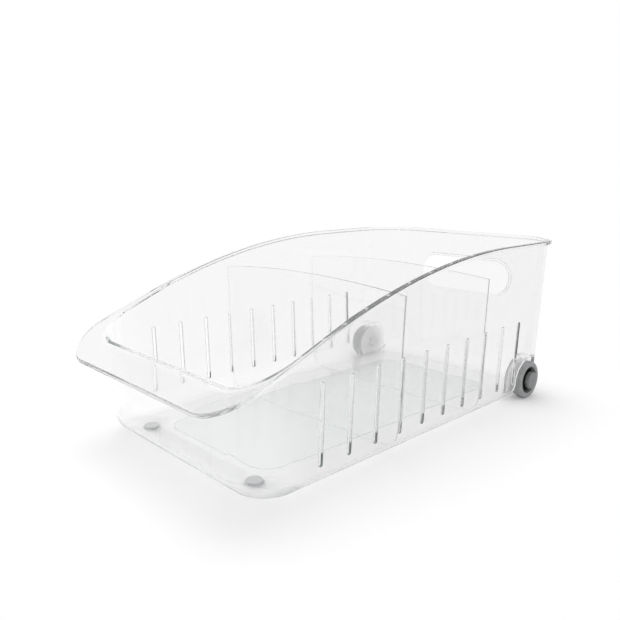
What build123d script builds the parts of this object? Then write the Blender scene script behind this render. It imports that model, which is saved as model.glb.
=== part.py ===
"""Clear rolling fridge bin: a moulded tub on two wheels and two feet, with two dividers.

Millimetres. The front, with the scoop lip, faces -Y. The origin is under the middle of the
bin, on the shelf that it stands on. Each piece is written to parts/NODE.step.
"""
from build123d import *
from math import cos, radians, sin, tan
import os

# Overall size
overall_length = 368.0
overall_width = 206.0
overall_height = 136.0

# Tub walls: they lean outwards by the draft, and the corner radii are at rim height
wall = 2.2
floor_thickness = 2.3
ground_clearance = 2.5
draft_angle = 2.2
bottom_radius = 14.5
front_corner_radius = 33.0
rear_corner_radius = 42.0

# Rim and scoop lip: the rim is straight from the lip up to the sweep, then level to the rear
rim_overhang = 3.0
rim_thickness = 3.0
lip_reach = 20.5
lip_edge_height = 64.4
lip_corner_radius = 34.5
rise_angle = 21.8
sweep_radius = 534.0
dish_depth = 5.2
dish_flat_half_width = 67.0
dish_fade_length = 75.0

# Slots in the side walls
slot_count = 10
slot_pitch = 25.0
slot_width = 2.8
slot_bottom = 17.6
slot_top = 71.6
front_slot_inset = 73.0

# Hand hole in the rear wall
hand_hole_length = 97.0
hand_hole_height = 31.0
hand_hole_centre_height = 94.5
bead_width = 3.0
bead_height = 1.2

# Dividers: counted from the front, the slots that they stand in
divider_thickness = 1.8
divider_side_gap = 0.6
divider_floor_gap = 0.4
divider_corner_height = 113.0
divider_crown_height = 118.0
divider_play = 1.0
ear_end_gap = 0.8
front_divider_slot = 4
rear_divider_slot = 8

# Wheels, their pockets and their pins
wheel_radius = 16.1
wheel_width = 10.0
wheel_inset = 43.5
wheel_proud = 1.2
tyre_edge_radius = 1.6
hub_radius = 11.5
hub_recess = 2.5
hub_rim = 1.5
hub_web = 2.0
hub_tube_radius = 4.5
hub_tube_recess = 0.7
bore_clearance = 0.05
side_clearance = 0.3
pocket_radius = 20.0
pocket_wall = 2.0
spacer_height = 1.0
pin_radius = 2.5
pin_head_radius = 7.4
pin_head_thickness = 3.6
pin_head_edge = 0.8
boss_radius = 4.5
boss_length = 6.0
boss_end = 1.5

# Front feet: a pad under the floor, a stem through it and a head on top
foot_pad_radius = 6.7
foot_stem_radius = 3.75
foot_head_radius = 5.5
foot_head_height = 1.2
foot_edge_radius = 0.5
foot_spacing = 122.0
foot_inset = 49.0

# Working values: how far cutting blocks run past the piece, and how near counts as the same
cut_margin = 20.0
same_within = 0.01

# Places worked out from the sizes above
front_y = -overall_length / 2
rear_y = overall_length / 2
floor_top = ground_clearance + floor_thickness
slope = tan(radians(draft_angle))
tub_half_width = overall_width / 2 - rim_overhang
tub_front_y = front_y + lip_reach
tub_rear_y = rear_y - rim_overhang
far = overall_length + overall_width
corner_reach = overall_height - lip_edge_height


def lean(z):
    """How far the leaning walls stand in at height z from where they are at rim height."""
    return (overall_height - z) * slope


def half_width_at(z):
    """Half the tub's outer width at height z."""
    return tub_half_width - lean(z)


def slot_y(number):
    """Y of a pair of slots, counted from 1 at the front."""
    return front_y + front_slot_inset + (number - 1) * slot_pitch


def rounded_plan(half_width, y_front, y_rear, front_radius, rear_radius, z):
    """Plan outline at height z with its own corner radius at the front and at the rear."""
    with BuildSketch(Plane.XY.offset(z)) as plan:
        with BuildLine():
            Polyline(
                (0, y_front),
                (half_width - front_radius, y_front),
            )
            RadiusArc(
                (half_width - front_radius, y_front),
                (half_width, y_front + front_radius),
                -front_radius,
            )
            Line((half_width, y_front + front_radius), (half_width, y_rear - rear_radius))
            RadiusArc(
                (half_width, y_rear - rear_radius),
                (half_width - rear_radius, y_rear),
                -rear_radius,
            )
            Line((half_width - rear_radius, y_rear), (0, y_rear))
            mirror(about=Plane.YZ)
        make_face()
    return plan.sketch


def leaning_block(grow, bottom, front_y_at_rim=None, front_radius=None):
    """Solid tub that leans like the walls, grown sideways by grow, from bottom to rim height."""
    y_front = tub_front_y - grow if front_y_at_rim is None else front_y_at_rim
    radius = front_corner_radius + grow if front_radius is None else front_radius
    plan = rounded_plan(
        tub_half_width + grow,
        y_front,
        tub_rear_y + grow,
        radius,
        rear_corner_radius + grow,
        overall_height,
    )
    return extrude(plan, -(overall_height - bottom), taper=draft_angle)


def round_bottom(block, bottom, radius):
    """Round the edges of a block's underside."""
    edges = block.edges().filter_by_position(
        Axis.Z, bottom - same_within, bottom + same_within
    )
    return fillet(edges, radius)


def space_under_rim():
    """Everything below the top of the rim: a straight rise, a tangent sweep, then level."""
    angle = radians(rise_angle)
    side_lip_height = lip_edge_height + dish_depth
    rise_to_sweep = overall_height - sweep_radius * (1 - cos(angle)) - side_lip_height
    sweep_start_y = front_y + rise_to_sweep / tan(angle)
    sweep_end_y = sweep_start_y + sweep_radius * sin(angle)
    outside_y = front_y - cut_margin
    outside_z = side_lip_height - cut_margin * tan(angle)
    sweep_start_z = side_lip_height + rise_to_sweep
    behind_y = rear_y + cut_margin
    with BuildSketch(Plane.YZ.offset(-overall_width)) as side:
        with BuildLine():
            Line((outside_y, -cut_margin), (outside_y, outside_z))
            Line((outside_y, outside_z), (sweep_start_y, sweep_start_z))
            RadiusArc(
                (sweep_start_y, sweep_start_z),
                (sweep_end_y, overall_height),
                sweep_radius,
            )
            Line((sweep_end_y, overall_height), (behind_y, overall_height))
            Line((behind_y, overall_height), (behind_y, -cut_margin))
            Line((behind_y, -cut_margin), (outside_y, -cut_margin))
        make_face()
    under = extrude(side.sketch, 2 * overall_width)
    return under - lip_dish(side_lip_height, outside_y, outside_z)


def lip_dish(side_lip_height, outside_y, outside_z):
    """Shallow hollow along the lip: flat in the middle, curving up to the rim at the sides."""
    angle = radians(rise_angle)
    edge = half_width_at(side_lip_height) + rim_overhang
    with BuildSketch(Plane.XZ.offset(-outside_y)) as section:
        with BuildLine():
            Line((0, outside_z - dish_depth), (dish_flat_half_width, outside_z - dish_depth))
            TangentArc(
                (dish_flat_half_width, outside_z - dish_depth),
                (edge, outside_z),
                tangent=(1, 0),
            )
            Line((edge, outside_z), (edge, outside_z + cut_margin))
            Line((edge, outside_z + cut_margin), (0, outside_z + cut_margin))
            mirror(about=Plane.YZ)
        make_face()
    fade_start_y = tub_front_y
    fade_end_y = fade_start_y + dish_fade_length
    length = (fade_end_y + cut_margin - outside_y) / cos(angle)
    hollow = extrude(section.sketch, length, dir=(0, cos(angle), sin(angle)))
    start_z = side_lip_height + (fade_start_y - front_y) * tan(angle) - dish_depth
    end_z = side_lip_height + (fade_end_y - front_y) * tan(angle)
    steep = (end_z - start_z) / dish_fade_length
    past_y = fade_end_y + 2 * cut_margin
    with BuildSketch(Plane.YZ.offset(-overall_width)) as ramp:
        with BuildLine():
            Polyline(
                (fade_start_y, start_z - far),
                (fade_start_y, start_z),
                (past_y, start_z + (past_y - fade_start_y) * steep),
                (past_y, start_z - far),
                close=True,
            )
        make_face()
    return hollow - extrude(ramp.sketch, 2 * overall_width)


def stadium_through_rear(length, height):
    """Round-ended bar along Y through the rear wall at the hand hole."""
    with BuildSketch(Plane.XZ.offset(-(tub_rear_y - cut_margin))) as shape:
        with Locations((0, hand_hole_centre_height)):
            SlotOverall(length, height)
    return extrude(shape.sketch, -2 * cut_margin)


def slot_cutters():
    """Round-ended cutters through both side walls, one for each pair of slots."""
    middle = (slot_bottom + slot_top) / 2
    with BuildSketch(Plane.YZ.offset(-overall_width)) as shape:
        with Locations(*[(slot_y(n), middle) for n in range(1, slot_count + 1)]):
            SlotOverall(slot_top - slot_bottom, slot_width, rotation=90)
    return extrude(shape.sketch, 2 * overall_width)


wheel_y = rear_y - wheel_inset
wheel_face_x = half_width_at(wheel_radius) + wheel_proud
wheel_back_x = wheel_face_x - wheel_width
pocket_back_x = wheel_back_x - side_clearance - spacer_height
hub_tube_end_x = wheel_face_x - hub_tube_recess
pin_head_back_x = hub_tube_end_x + side_clearance
boss_end_x = pocket_back_x - pocket_wall - boss_length


def pocket_shape(radius, x_from, x_to):
    """Arch-topped block along X over the right wheel, open downwards."""
    with BuildSketch(Plane.YZ.offset(x_from)) as shape:
        with Locations((wheel_y, wheel_radius)):
            Circle(radius)
        with Locations((wheel_y, wheel_radius - radius)):
            Rectangle(2 * radius, 2 * radius)
    return extrude(shape.sketch, x_to - x_from)


def wheel_cylinder(radius, x_from, x_to):
    """Round bar on the right wheel's axis."""
    start = Plane(origin=(x_from, wheel_y, wheel_radius), z_dir=(1, 0, 0))
    return extrude(start * Circle(radius), x_to - x_from)


def on_both_sides(solid):
    """A solid on the right with its mirror image on the left."""
    return [solid, mirror(solid, about=Plane.YZ)]


def make_bin_body():
    """The clear moulding: tub, rim and lip, hand hole, slots, wheel pockets and bosses."""
    under = space_under_rim()
    outer = round_bottom(leaning_block(0, ground_clearance), ground_clearance, bottom_radius)
    inner_radius = bottom_radius - floor_thickness
    cavity = round_bottom(leaning_block(-wall, floor_top), floor_top, inner_radius)

    lip_front_at_rim = front_y - corner_reach * slope
    rim_plan = leaning_block(
        rim_overhang,
        lip_edge_height - 2 * rim_thickness,
        front_y_at_rim=lip_front_at_rim,
        front_radius=lip_corner_radius,
    )
    rim = (rim_plan & under) - Pos(0, 0, -rim_thickness) * under

    bead = stadium_through_rear(
        hand_hole_length + 2 * bead_width,
        hand_hole_height + 2 * bead_width,
    )
    bead = bead & leaning_block(bead_height, floor_top)

    body = (outer & under) + rim + bead - cavity

    pocket_block = pocket_shape(pocket_radius + pocket_wall, pocket_back_x - pocket_wall, far)
    pocket_block = pocket_block & outer
    boss = wheel_cylinder(boss_radius, boss_end_x, pocket_back_x)
    for added in on_both_sides(pocket_block) + on_both_sides(boss):
        body = body + added

    niche = pocket_shape(pocket_radius, pocket_back_x, far)
    for cut in on_both_sides(niche):
        body = body - cut
    spacer = wheel_cylinder(boss_radius, pocket_back_x - pocket_wall, pocket_back_x + spacer_height)
    for added in on_both_sides(spacer):
        body = body + added
    pin_hole = wheel_cylinder(pin_radius, boss_end_x + boss_end, far)
    for cut in on_both_sides(pin_hole):
        body = body - cut

    body = body - slot_cutters()
    body = body - stadium_through_rear(hand_hole_length, hand_hole_height)
    for side in (-1, 1):
        body = body - foot_place(side) * Cylinder(foot_stem_radius, 2 * cut_margin)
    return body


def foot_place(side):
    """Where a front foot stands; side is 1 on the right and -1 on the left."""
    return Pos(side * foot_spacing / 2, front_y + foot_inset, 0)


def turned(profile):
    """Solid of revolution from points given as (radius, height)."""
    with BuildSketch(Plane.XZ) as section:
        with BuildLine():
            Polyline(*profile, close=True)
        make_face()
    return revolve(section.sketch, Axis.Z)


def round_edges(solid, radius, heights, size):
    """Round the circular edges of one radius that lie at the given heights."""
    edges = [
        edge
        for edge in solid.edges().filter_by(GeomType.CIRCLE)
        if abs(edge.radius - radius) < same_within
        and any(abs(edge.center().Z - height) < same_within for height in heights)
    ]
    return fillet(edges, size)


def make_foot():
    """Grey push-in foot about Z, standing on the shelf."""
    foot = turned(
        [
            (0, 0),
            (foot_pad_radius, 0),
            (foot_pad_radius, ground_clearance),
            (foot_stem_radius, ground_clearance),
            (foot_stem_radius, floor_top),
            (foot_head_radius, floor_top),
            (foot_head_radius, floor_top + foot_head_height),
            (0, floor_top + foot_head_height),
        ]
    )
    foot = round_edges(foot, foot_pad_radius, [0], foot_edge_radius)
    return round_edges(foot, foot_head_radius, [floor_top + foot_head_height], foot_edge_radius)


def on_right_axle(solid):
    """Turn a piece made about Z so that it lies on the right wheel's axis, outwards along X."""
    return Plane(origin=(0, wheel_y, wheel_radius), x_dir=(0, 0, -1), z_dir=(1, 0, 0)) * solid


def make_tyre():
    """Grey ring with rounded edges, in wheel coordinates along the axle."""
    tyre = turned(
        [
            (hub_radius, wheel_back_x),
            (wheel_radius, wheel_back_x),
            (wheel_radius, wheel_face_x),
            (hub_radius, wheel_face_x),
        ]
    )
    return round_edges(tyre, wheel_radius, [wheel_back_x, wheel_face_x], tyre_edge_radius)


def make_wheel_hub():
    """Rigid core with a hollow face: rim, web and the tube that runs on the pin."""
    bore = pin_radius + bore_clearance
    rim_inside = hub_radius - hub_rim
    return turned(
        [
            (bore, wheel_back_x),
            (hub_radius, wheel_back_x),
            (hub_radius, wheel_face_x - hub_recess),
            (rim_inside, wheel_face_x - hub_recess),
            (rim_inside, wheel_back_x + hub_web),
            (hub_tube_radius, wheel_back_x + hub_web),
            (hub_tube_radius, hub_tube_end_x),
            (bore, hub_tube_end_x),
        ]
    )


def make_axle_pin():
    """Pin with a broad flat head outside the wheel, pressed into the boss in the pocket."""
    head_face_x = pin_head_back_x + pin_head_thickness
    pin = turned(
        [
            (0, boss_end_x + boss_end),
            (pin_radius, boss_end_x + boss_end),
            (pin_radius, pin_head_back_x),
            (pin_head_radius, pin_head_back_x),
            (pin_head_radius, head_face_x),
            (0, head_face_x),
        ]
    )
    return round_edges(pin, pin_head_radius, [head_face_x], pin_head_edge)


def make_divider(number):
    """Clear panel that follows the walls and floor, with an ear in the slot on each side."""
    corner_x = half_width_at(divider_corner_height) - wall - divider_side_gap
    bottom = floor_top + divider_floor_gap
    bottom_x = half_width_at(bottom) - wall - divider_side_gap
    corner_cut = bottom_radius - floor_thickness + divider_side_gap
    ear_bottom = slot_bottom + ear_end_gap
    ear_top = slot_top - ear_end_gap - divider_play
    middle_y = slot_y(number)
    with BuildSketch(Plane.XZ.offset(-middle_y - divider_thickness / 2)) as face:
        with BuildLine():
            Line((0, bottom), (bottom_x, bottom))
            Line((bottom_x, bottom), (corner_x, divider_corner_height))
            ThreePointArc(
                (corner_x, divider_corner_height),
                (0, divider_crown_height),
                (-corner_x, divider_corner_height),
            )
            Line((-corner_x, divider_corner_height), (-bottom_x, bottom))
            Line((-bottom_x, bottom), (0, bottom))
        make_face()
        low = face.vertices().group_by(Axis.Y)[0]
        fillet(low.sort_by(Axis.X)[0], corner_cut)
        low = face.vertices().group_by(Axis.Y)[0]
        fillet(low.sort_by(Axis.X)[-1], corner_cut)
        for side in (-1, 1):
            with BuildLine():
                Polyline(
                    (0, ear_bottom),
                    (side * half_width_at(ear_bottom), ear_bottom),
                    (side * half_width_at(ear_top), ear_top),
                    (0, ear_top),
                    close=True,
                )
            make_face()
    return extrude(face.sketch, divider_thickness)


def main():
    os.makedirs("parts", exist_ok=True)
    tyre = on_right_axle(make_tyre())
    hub = on_right_axle(make_wheel_hub())
    pin = on_right_axle(make_axle_pin())
    pieces = {
        "bin_body": make_bin_body(),
        "front_divider": make_divider(front_divider_slot),
        "rear_divider": make_divider(rear_divider_slot),
        "right_tyre": tyre,
        "left_tyre": mirror(tyre, about=Plane.YZ),
        "right_wheel_hub": hub,
        "left_wheel_hub": mirror(hub, about=Plane.YZ),
        "right_axle_pin": pin,
        "left_axle_pin": mirror(pin, about=Plane.YZ),
        "right_front_foot": foot_place(1) * make_foot(),
        "left_front_foot": foot_place(-1) * make_foot(),
    }
    for name, piece in pieces.items():
        export_step(piece, f"parts/{name}.step")


main()
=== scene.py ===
"""Looks for the clear rolling fridge bin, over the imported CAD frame.

Sizes are in millimetres, as in the part's source, and go into the meshes as metres. The front,
with the scoop lip, faces -Y, and Z is up.
"""
import math

import bpy
import bmesh
import numpy as np
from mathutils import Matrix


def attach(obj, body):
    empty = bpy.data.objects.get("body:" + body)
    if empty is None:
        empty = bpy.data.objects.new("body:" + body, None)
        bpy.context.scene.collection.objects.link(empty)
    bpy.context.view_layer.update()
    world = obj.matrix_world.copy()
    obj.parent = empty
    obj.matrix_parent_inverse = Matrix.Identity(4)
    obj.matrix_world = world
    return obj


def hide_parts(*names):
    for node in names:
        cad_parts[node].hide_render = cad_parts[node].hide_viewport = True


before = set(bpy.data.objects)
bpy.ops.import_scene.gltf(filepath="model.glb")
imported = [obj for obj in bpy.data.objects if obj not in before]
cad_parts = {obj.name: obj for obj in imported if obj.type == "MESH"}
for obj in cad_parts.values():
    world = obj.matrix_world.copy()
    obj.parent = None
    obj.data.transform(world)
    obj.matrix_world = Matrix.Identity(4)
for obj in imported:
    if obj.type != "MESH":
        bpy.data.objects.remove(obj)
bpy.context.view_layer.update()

metre = 0.001

# Tub
overall_length = 368.0
overall_width = 206.0
overall_height = 136.0
wall = 2.2
floor_thickness = 2.3
ground_clearance = 2.5
draft_angle = 2.2
bottom_radius = 14.5
front_corner_radius = 33.0
rear_corner_radius = 42.0

# Rim and scoop lip
rim_overhang = 3.0
rim_thickness = 3.0
lip_reach = 20.5
lip_edge_height = 64.4
lip_corner_radius = 34.5
rise_angle = 21.8
sweep_radius = 534.0
dish_depth = 5.2
dish_flat_half_width = 67.0
dish_fade_length = 75.0
dish_blend = 0.6
rim_inside_rounding = 1.3
lip_inside_rounding = 3.2
lip_rounding_fade = 30.0
rim_top_rounding = 1.2
rim_under_rounding = 0.8
rim_root_rounding = 1.2

# Shallow panel: recessed in the underside and raised inside
panel_half_width = 59.0
panel_front_y = -125.0
panel_rear_y = 136.0
panel_corner_radius = 18.0
panel_depth = 0.4
panel_rise = 0.15
panel_slope = 0.5

# Side slots
slot_count = 10
slot_pitch = 25.0
slot_width = 2.8
slot_bottom = 17.6
slot_top = 71.6
front_slot_inset = 73.0
slot_edge_rounding = 0.45

# Hand hole
hand_hole_length = 97.0
hand_hole_height = 31.0
hand_hole_centre_height = 94.5
bead_width = 3.0
bead_height = 1.2
bead_crest_share = 0.42
bead_foot_run = 0.4
bead_sink = 0.4
hand_hole_rounding = 0.6

# Dividers
divider_thickness = 1.8
divider_side_gap = 0.6
divider_floor_gap = 0.4
divider_corner_height = 113.0
divider_crown_height = 118.0
divider_play = 1.0
ear_end_gap = 0.8
divider_edge_rounding = 0.35
front_divider_slot = 4
rear_divider_slot = 8

# Wheels, pockets and pins
wheel_radius = 16.1
wheel_width = 10.0
wheel_inset = 43.5
wheel_proud = 1.2
tyre_inner_bore_rounding = 0.3
tyre_inner_edge_rounding = 4.2
tyre_outer_edge_rounding = 1.6
tyre_outer_bore_rounding = 0.5
hub_radius = 11.5
hub_recess = 2.5
hub_rim = 1.5
hub_web = 2.0
hub_tube_radius = 4.5
hub_tube_recess = 0.7
hub_bore_gap = 0.05
hub_edge_rounding = 0.4
hub_tube_rounding = 0.3
side_clearance = 0.3
pocket_radius = 20.0
pocket_wall = 2.0
pocket_edge_flare = 1.6
pocket_flare_turn = 75.0
pocket_cut_growth = 6.4
pocket_end_rounding = 0.8
housing_end_rounding = 1.2
corner_margin = 1.0
spacer_height = 1.0
pin_radius = 2.5
pin_head_radius = 7.4
pin_head_thickness = 3.6
pin_end_rounding = 0.3
pin_head_back_rounding = 0.3
pin_head_rounding = 0.8
boss_radius = 4.5
boss_length = 6.0
boss_end_wall = 1.5
boss_end_rounding = 0.5
boss_root_rounding = 0.3

# Feet
foot_pad_radius = 6.7
foot_stem_radius = 3.75
foot_head_radius = 5.5
foot_head_height = 1.2
foot_gap = 0.08
foot_spacing = 122.0
foot_inset = 49.0
foot_pad_rounding = 0.5
foot_pad_top_rounding = 0.2
foot_head_under_rounding = 0.1
foot_head_rounding = 0.5

# Camera, from the fit to the photograph, with its place in metres
camera_place = (0.34963, -0.36021, 0.18975)
camera_azimuth = 46.62
camera_down_angle = 11.95
focal_length_in_frame_widths = 637.3 / 620.0
sensor_width = 36.0

# Clear plastic: roughness, and tints as the share of light left by each bounce. The front wall
# and lip keep a clearer tint than the rest, a painted light that makes them and the lines along
# their edges lighter than the sides
plastic_index = 1.5
polish = 0.03
bin_tint = 0.968
# Painted light: the front wall and lip are left clear, so they and their edge lines look lighter
# than the tinted sides
front_painted_light_tint = 1.0
divider_tint = 0.99
mould_wave_size = 40.0
mould_wave_depth = 0.05
rubbed_patch_size = 9.0
rubbed_roughness = 0.02
rubbed_from = 0.55
rubbed_to = 0.75
panel_roughness = 0.16
panel_tint = (0.972, 0.979, 0.976)
satin_roughness = 0.8
satin_fade_share = 0.3

# Share in the front wall and lip, which carries the front's painted light and its satin lower
# edge: 1 up to the full values, and 0 past the end values
front_full_x = 90.0
front_end_x = 103.0
front_full_y = -146.0
front_end_y = -115.0

# Milky discs on the backs of the wheel housings
milky_roughness = 0.5
milky_share = 0.58
milky_white = 0.9
milky_disc_full = 16.5
milky_disc_end = 18.0
milky_margin = 0.3

# Grey rubber and plastic
colour_patch_size = 6.0
turning_mark_depth = 0.04
cool_grey = (0.985, 1.0, 1.02)

# Noise: its roughness, and the range in which most of its values lie
noise_roughness = 0.55
noise_low = 0.3
noise_high = 0.7

# Light bounces: clear plastic needs many, or its edges go black where the light is cut off
light_bounces = 128

# Light: an even white sky, and one soft lamp from behind that gives the floor's shadow
sky_share = 0.8
lamp_tilt = 16.0
lamp_turn = -118.0
lamp_softness = 40.0
floor_albedo = 0.93
floor_reach_metres = 3.0

# Columns of the tub's grid, as step counts along half of the outline from the front middle
front_steps = 14
front_corner_steps = 18
before_cells_steps = 3
cell_steps = 10
before_last_steps = 4
last_cell_width = 7.0
behind_cells_steps = 9
rear_corner_steps = 24
beside_hole_steps = 1
half_hole_steps = 8
hole_cell_half_width = 56.0

# Rows of the tub's grid
slot_rows = 8
hole_rows = 16
bottom_arc_rows = 11
across_rim_rows = 8
top_rounding_rows = 6
under_rounding_rows = 5
cells_start_drop = 0.2
cells_top = 75.0
slot_cells_share = 0.8
hole_cells_share = 0.7
rim_search_rounds = 6

# Steps and angles of the other surfaces
panel_slope_rings = 6
slot_edge_steps = 4
bead_steps = 7
hole_edge_steps = 5
arch_steps = 48
leg_steps = 7
end_rounding_rings = 5
flare_rings = 5
wall_fill_shares = (0.8, 0.6, 0.4, 0.2)
turned_steps = 96
boss_steps = 48
rounding_steps = 5
tyre_rounding_steps = 10
divider_corner_steps = 10
crown_steps = 25
edge_segments = 3
sharp_angle = 35.0
shell_sharp_angle = 38.0
rounded_edge_angle = 40.0

# Turned solids end in flat caps, of this radius where the profile comes to the axis
cap_radius = 0.001

# Places worked out from the sizes above
front_y = -overall_length / 2
rear_y = overall_length / 2
floor_top = ground_clearance + floor_thickness
lean = math.tan(math.radians(draft_angle))
rise = math.tan(math.radians(rise_angle))
tub_half_width = overall_width / 2 - rim_overhang
tub_front_y = front_y + lip_reach
tub_rear_y = rear_y - rim_overhang
inner_bottom_radius = bottom_radius - floor_thickness
side_lip_height = lip_edge_height + dish_depth
sweep_rise = sweep_radius * (1 - math.cos(math.radians(rise_angle)))
sweep_start_y = front_y + (overall_height - sweep_rise - side_lip_height) / rise
sweep_end_y = sweep_start_y + sweep_radius * math.sin(math.radians(rise_angle))
panel_rear_cell_x = panel_half_width / 2
wheel_y = rear_y - wheel_inset
wheel_axis = (wheel_y, wheel_radius)
wheel_face_x = tub_half_width - (overall_height - wheel_radius) * lean + wheel_proud
wheel_back_x = wheel_face_x - wheel_width
pocket_back_x = wheel_back_x - side_clearance - spacer_height
hub_tube_end_x = wheel_face_x - hub_tube_recess
pin_head_back_x = hub_tube_end_x + side_clearance
pin_head_face_x = pin_head_back_x + pin_head_thickness
boss_end_x = pocket_back_x - pocket_wall - boss_length
boss_root_x = pocket_back_x + spacer_height


def steps(start, end, count):
    """Evenly spaced values from start up to, but not including, end."""
    return start + (end - start) * np.arange(count) / count


def smooth_step(value, low, high):
    """0 below low, 1 above high and an S curve in between: 3t squared less 2t cubed."""
    t = np.clip((value - low) / (high - low), 0, 1)
    return t * t * (3 - 2 * t)


def add_piece(name, points, faces, material, body, node):
    """Make a piece from points in millimetres and faces as arrays of point numbers.

    It rides on the body, replaces the CAD node and takes the given material.
    """
    mesh = bpy.data.meshes.new(name)
    mesh.from_pydata((np.asarray(points) * metre).tolist(), [], faces)
    mesh.materials.append(material)
    mesh.shade_smooth()
    mesh.set_sharp_from_angle(angle=math.radians(sharp_angle))
    piece = bpy.data.objects.new(name, mesh)
    bpy.context.scene.collection.objects.link(piece)
    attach(piece, body)
    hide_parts(node)
    return piece


def rounded(before, corner, after, count):
    """Circular arc from before to after, tangent to the lines through corner.

    A rational quadratic curve whose middle weight is the cosine of half the turn is a circle.
    """
    first = corner - before
    second = after - corner
    first_length = np.linalg.norm(first, axis=-1)
    second_length = np.linalg.norm(second, axis=-1)
    turn = (first * second).sum(-1) / (first_length * second_length)
    weight = np.sqrt((1 + np.clip(turn, -1, 1)) / 2)[None, :, None]
    u = np.linspace(0, 1, count)[:, None, None]
    top = (1 - u) ** 2 * before + 2 * u * (1 - u) * weight * corner + u**2 * after
    return top / ((1 - u) ** 2 + 2 * u * (1 - u) * weight + u**2)


def rim_height(x, y):
    """Height of the rim's top: a straight rise, a tangent arc, then level, less the lip's dish.

    The dish is flat in the middle and rises to the sides as an arc, and fades along the sides.
    What is taken off is a soft minimum of its depth and of what the fade leaves: half of their
    sum less the root of their difference squared plus the blend squared.
    """
    straight = side_lip_height + (y - front_y) * rise
    before_end = np.clip(sweep_end_y - y, 0, sweep_radius)
    swept = overall_height - sweep_radius + np.sqrt(sweep_radius**2 - before_end**2)
    height = np.where(y < sweep_start_y, straight, swept)
    edge = tub_half_width - (overall_height - side_lip_height) * lean + rim_overhang
    run = edge - dish_flat_half_width
    arc_radius = (run**2 + dish_depth**2) / (2 * dish_depth)
    aside = np.clip(np.abs(x) - dish_flat_half_width, 0, run)
    depth = dish_depth - arc_radius + np.sqrt(arc_radius**2 - aside**2)
    left = dish_depth * (1 - (y - tub_front_y) / dish_fade_length)
    least = (depth + left - np.sqrt((depth - left) ** 2 + dish_blend**2)) / 2
    return height - np.clip(least, 0, None)


def half_outline(
    half_width, y_front, y_rear, front_radius, rear_radius, side_y, hole_x=hole_cell_half_width
):
    """Right half of a rounded rectangle, from the front middle round to the rear middle.

    side_y holds the Y of the columns along the straight side, and hole_x is where the columns
    round the hand hole begin. Returns points and normals.
    """
    front_x = half_width - front_radius
    rear_x = half_width - rear_radius
    turn_in = steps(-math.pi / 2, 0, front_corner_steps)
    turn_out = steps(0, math.pi / 2, rear_corner_steps)
    across = steps(0, front_x, front_steps)
    back = np.concatenate([
        steps(rear_x, hole_x, beside_hole_steps),
        np.linspace(hole_x, 0, half_hole_steps + 1),
    ])
    points = np.concatenate([
        np.stack([across, np.full(front_steps, y_front)], -1),
        np.stack([
            front_x + front_radius * np.cos(turn_in),
            y_front + front_radius + front_radius * np.sin(turn_in),
        ], -1),
        np.stack([np.full(len(side_y), half_width), side_y], -1),
        np.stack([
            rear_x + rear_radius * np.cos(turn_out),
            y_rear - rear_radius + rear_radius * np.sin(turn_out),
        ], -1),
        np.stack([back, np.full(len(back), y_rear)], -1),
    ])
    angle = np.concatenate([
        np.full(front_steps, -math.pi / 2),
        turn_in,
        np.zeros(len(side_y)),
        turn_out,
        np.full(len(back), math.pi / 2),
    ])
    return points, np.stack([np.cos(angle), np.sin(angle)], -1)


def whole_outline(points, normals):
    """The closed outline: the right half, then its mirror image back to the front."""
    flip = np.array([-1, 1])
    back = slice(-2, 0, -1)
    return (
        np.concatenate([points, points[back] * flip]),
        np.concatenate([normals, normals[back] * flip]),
    )


def slot_y(number):
    """Y of a pair of slots, counted from 1 at the front."""
    return front_y + front_slot_inset + (number - 1) * slot_pitch


def tub_outlines():
    """Outlines of the tub and of the rim's edge at rim height, column by column.

    The lip's front corners start further forward than the tub's, so its columns there are drawn
    forward too, by the square of what is left of the dish's length.
    """
    side_start = tub_front_y + front_corner_radius
    side_end = tub_rear_y - rear_corner_radius
    cells_start = slot_y(1) - slot_pitch / 2
    cells_end = slot_y(slot_count) - slot_pitch / 2
    last_start = slot_y(slot_count) - last_cell_width / 2
    last_end = slot_y(slot_count) + last_cell_width / 2
    side_y = np.concatenate([
        steps(side_start, cells_start, before_cells_steps),
        steps(cells_start, cells_end, cell_steps * (slot_count - 1)),
        steps(cells_end, last_start, before_last_steps),
        steps(last_start, last_end, cell_steps),
        steps(last_end, side_end, behind_cells_steps),
    ])
    tub = half_outline(
        tub_half_width, tub_front_y, tub_rear_y, front_corner_radius, rear_corner_radius, side_y
    )
    lip_front = front_y - (overall_height - lip_edge_height) * lean
    lip_side_start = lip_front + lip_corner_radius
    stretch_end = side_start + dish_fade_length
    share = np.clip((stretch_end - side_y) / (stretch_end - side_start), 0, 1)
    lip_side_y = side_y - (side_start - lip_side_start) * share**2
    lip = half_outline(
        tub_half_width + rim_overhang,
        lip_front,
        tub_rear_y + rim_overhang,
        lip_corner_radius,
        rear_corner_radius + rim_overhang,
        lip_side_y,
    )
    return whole_outline(*tub), whole_outline(*lip)


def on_wall(outline, normals, inset, z):
    """Points on a leaning wall at height z, inset from the outline at rim height.

    Each goes back along its normal by the inset and the lean times the depth below the rim.
    """
    back = (overall_height - z) * lean + inset
    plan = outline - normals * back[:, None]
    return np.column_stack([plan, z])


def on_rim(outline, normals, inset, below):
    """Points where a leaning wall meets the rim's top surface, lowered by below.

    The wall's place gives the rim's height and that gives the wall's place, a few times over.
    """
    z = np.full(len(outline), overall_height)
    for _ in range(rim_search_rounds):
        plan = on_wall(outline, normals, inset, z)
        z = rim_height(plan[:, 0], plan[:, 1]) - below
    return on_wall(outline, normals, inset, z)


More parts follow.
